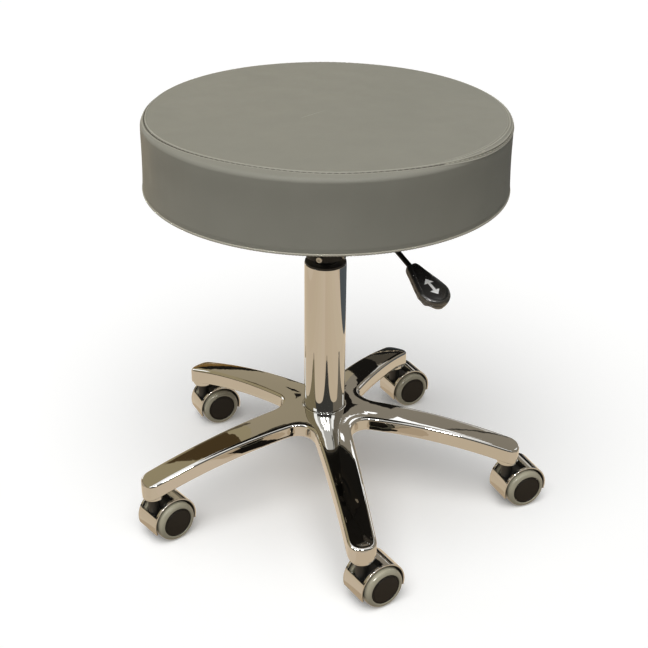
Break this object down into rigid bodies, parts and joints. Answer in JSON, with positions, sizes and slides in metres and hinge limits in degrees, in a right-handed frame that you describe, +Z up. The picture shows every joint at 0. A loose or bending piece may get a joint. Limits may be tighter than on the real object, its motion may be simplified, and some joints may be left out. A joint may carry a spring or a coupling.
{
  "type": "medical rolling stool",
  "caption": "Round padded stool with a height lever and gas lift, on a chromed star base with twin-wheel casters.",
  "frame": {"origin": "on the column's axis, at the floor under the tyres", "axes": "+Z up along the column; the picture's camera looks along +Y; +X is the picture's right"},
  "size_m": [0.5035, 0.4966, 0.5045],
  "materials": {
    "chrome_plate": "mirror-bright chrome plate",
    "zinc_plated_steel": "dull zinc plate",
    "ground_steel": "ground and polished",
    "black_painted_steel": "semi-gloss black paint",
    "black_nylon": "moulded, satin",
    "black_gloss_plastic": "moulded, glossy",
    "dark_grey_plastic": "moulded, matt",
    "grey_polyurethane": "smooth moulded tread",
    "taupe_vinyl": "fine-grained vinyl",
    "seat_foam": "open-cell foam",
    "plywood": "raw plywood",
    "black_nonwoven": "non-woven felt"
  },
  "bodies": {
    "base": {"star_base": "chrome_plate", "column_tube": "chrome_plate", "guide_bush": "black_nylon", "thrust_bearing": "zinc_plated_steel", "caster_1_stem": "zinc_plated_steel", "caster_2_stem": "zinc_plated_steel", "caster_3_stem": "zinc_plated_steel", "caster_4_stem": "zinc_plated_steel", "caster_5_stem": "zinc_plated_steel"},
    "lift_rod": {"piston_rod": "ground_steel", "retaining_clip": "zinc_plated_steel"},
    "seat": {"gas_cylinder": "ground_steel", "seat_plate": "black_painted_steel", "lever_pin": "zinc_plated_steel", "seat_board": "plywood", "seat_foam": "seat_foam", "seat_cover": "taupe_vinyl", "dust_cover": "black_nonwoven", "seat_bolt_1": "zinc_plated_steel", "seat_bolt_2": "zinc_plated_steel", "seat_bolt_3": "zinc_plated_steel", "seat_bolt_4": "zinc_plated_steel"},
    "lever": {"lever_rod": "black_painted_steel", "lever_grip": "black_gloss_plastic"},
    "valve": {"valve_button": "zinc_plated_steel"},
    "caster_1": {"caster_1_core": "black_nylon", "caster_1_hood": "chrome_plate", "caster_1_axle": "zinc_plated_steel"},
    "caster_1_wheel_left": {"caster_1_tyre_left": "grey_polyurethane", "caster_1_hub_left": "dark_grey_plastic"},
    "caster_1_wheel_right": {"caster_1_tyre_right": "grey_polyurethane", "caster_1_hub_right": "dark_grey_plastic"},
    "caster_2": {"caster_2_core": "black_nylon", "caster_2_hood": "chrome_plate", "caster_2_axle": "zinc_plated_steel"},
    "caster_2_wheel_left": {"caster_2_tyre_left": "grey_polyurethane", "caster_2_hub_left": "dark_grey_plastic"},
    "caster_2_wheel_right": {"caster_2_tyre_right": "grey_polyurethane", "caster_2_hub_right": "dark_grey_plastic"},
    "caster_3": {"caster_3_core": "black_nylon", "caster_3_hood": "chrome_plate", "caster_3_axle": "zinc_plated_steel"},
    "caster_3_wheel_left": {"caster_3_tyre_left": "grey_polyurethane", "caster_3_hub_left": "dark_grey_plastic"},
    "caster_3_wheel_right": {"caster_3_tyre_right": "grey_polyurethane", "caster_3_hub_right": "dark_grey_plastic"},
    "caster_4": {"caster_4_core": "black_nylon", "caster_4_hood": "chrome_plate", "caster_4_axle": "zinc_plated_steel"},
    "caster_4_wheel_left": {"caster_4_tyre_left": "grey_polyurethane", "caster_4_hub_left": "dark_grey_plastic"},
    "caster_4_wheel_right": {"caster_4_tyre_right": "grey_polyurethane", "caster_4_hub_right": "dark_grey_plastic"},
    "caster_5": {"caster_5_core": "black_nylon", "caster_5_hood": "chrome_plate", "caster_5_axle": "zinc_plated_steel"},
    "caster_5_wheel_left": {"caster_5_tyre_left": "grey_polyurethane", "caster_5_hub_left": "dark_grey_plastic"},
    "caster_5_wheel_right": {"caster_5_tyre_right": "grey_polyurethane", "caster_5_hub_right": "dark_grey_plastic"}
  },
  "joints": [
    {"name": "seat_swivel", "type": "hinge", "parent": "base", "child": "lift_rod", "pos_m": [0, 0, 0.3173], "axis": [0, 0, 1], "continuous": true},
    {"name": "seat_height", "type": "slide", "parent": "lift_rod", "child": "seat", "axis": [0, 0, 1], "range_m": [0, 0.13]},
    {"name": "lever_lift", "type": "hinge", "parent": "seat", "child": "lever", "pos_m": [0.01201, -0.01537, 0.39], "axis": [-0.788, -0.6157, 0], "range_deg": [0, 8], "stiffness_Nm_per_rad": 3, "springref_deg": -1.72},
    {"name": "valve_press", "type": "slide", "parent": "seat", "child": "valve", "axis": [0, 0, -1], "range_m": [0, 0.0034]},
    {"name": "caster_1_swivel", "type": "hinge", "parent": "base", "child": "caster_1", "pos_m": [0.22937, -0.02979, 0.06], "axis": [0, 0, 1], "continuous": true},
    {"name": "caster_1_roll_left", "type": "hinge", "parent": "caster_1", "child": "caster_1_wheel_left", "pos_m": [0.24543, -0.02284, 0.025], "axis": [-0.3971, 0.9178, 0], "continuous": true},
    {"name": "caster_1_roll_right", "type": "hinge", "parent": "caster_1", "child": "caster_1_wheel_right", "pos_m": [0.24543, -0.02284, 0.025], "axis": [-0.3971, 0.9178, 0], "continuous": true},
    {"name": "caster_2_swivel", "type": "hinge", "parent": "base", "child": "caster_2", "pos_m": [0.09921, 0.20894, 0.06], "axis": [0, 0, 1], "continuous": true},
    {"name": "caster_2_roll_left", "type": "hinge", "parent": "caster_2", "child": "caster_2_wheel_left", "pos_m": [0.11466, 0.21716, 0.025], "axis": [-0.4695, 0.8829, 0], "continuous": true},
    {"name": "caster_2_roll_right", "type": "hinge", "parent": "caster_2", "child": "caster_2_wheel_right", "pos_m": [0.11466, 0.21716, 0.025], "axis": [-0.4695, 0.8829, 0], "continuous": true},
    {"name": "caster_3_swivel", "type": "hinge", "parent": "base", "child": "caster_3", "pos_m": [-0.16806, 0.15892, 0.06], "axis": [0, 0, 1], "continuous": true},
    {"name": "caster_3_roll_left", "type": "hinge", "parent": "caster_3", "child": "caster_3_wheel_left", "pos_m": [-0.15238, 0.1667, 0.025], "axis": [-0.4446, 0.8957, 0], "continuous": true},
    {"name": "caster_3_roll_right", "type": "hinge", "parent": "caster_3", "child": "caster_3_wheel_right", "pos_m": [-0.15238, 0.1667, 0.025], "axis": [-0.4446, 0.8957, 0], "continuous": true},
    {"name": "caster_4_swivel", "type": "hinge", "parent": "base", "child": "caster_4", "pos_m": [-0.20308, -0.11072, 0.06], "axis": [0, 0, 1], "continuous": true},
    {"name": "caster_4_roll_left", "type": "hinge", "parent": "caster_4", "child": "caster_4_wheel_left", "pos_m": [-0.18971, -0.09943, 0.025], "axis": [-0.6455, 0.7638, 0], "continuous": true},
    {"name": "caster_4_roll_right", "type": "hinge", "parent": "caster_4", "child": "caster_4_wheel_right", "pos_m": [-0.18971, -0.09943, 0.025], "axis": [-0.6455, 0.7638, 0], "continuous": true},
    {"name": "caster_5_swivel", "type": "hinge", "parent": "base", "child": "caster_5", "pos_m": [0.04255, -0.22735, 0.06], "axis": [0, 0, 1], "continuous": true},
    {"name": "caster_5_roll_left", "type": "hinge", "parent": "caster_5", "child": "caster_5_wheel_left", "pos_m": [0.05726, -0.21787, 0.025], "axis": [-0.5417, 0.8406, 0], "continuous": true},
    {"name": "caster_5_roll_right", "type": "hinge", "parent": "caster_5", "child": "caster_5_wheel_right", "pos_m": [0.05726, -0.21787, 0.025], "axis": [-0.5417, 0.8406, 0], "continuous": true}
  ],
  "couplings": [
    {"joint": "valve_press", "follows": "lever_lift", "m_per_rad": 0.0237}
  ]
}
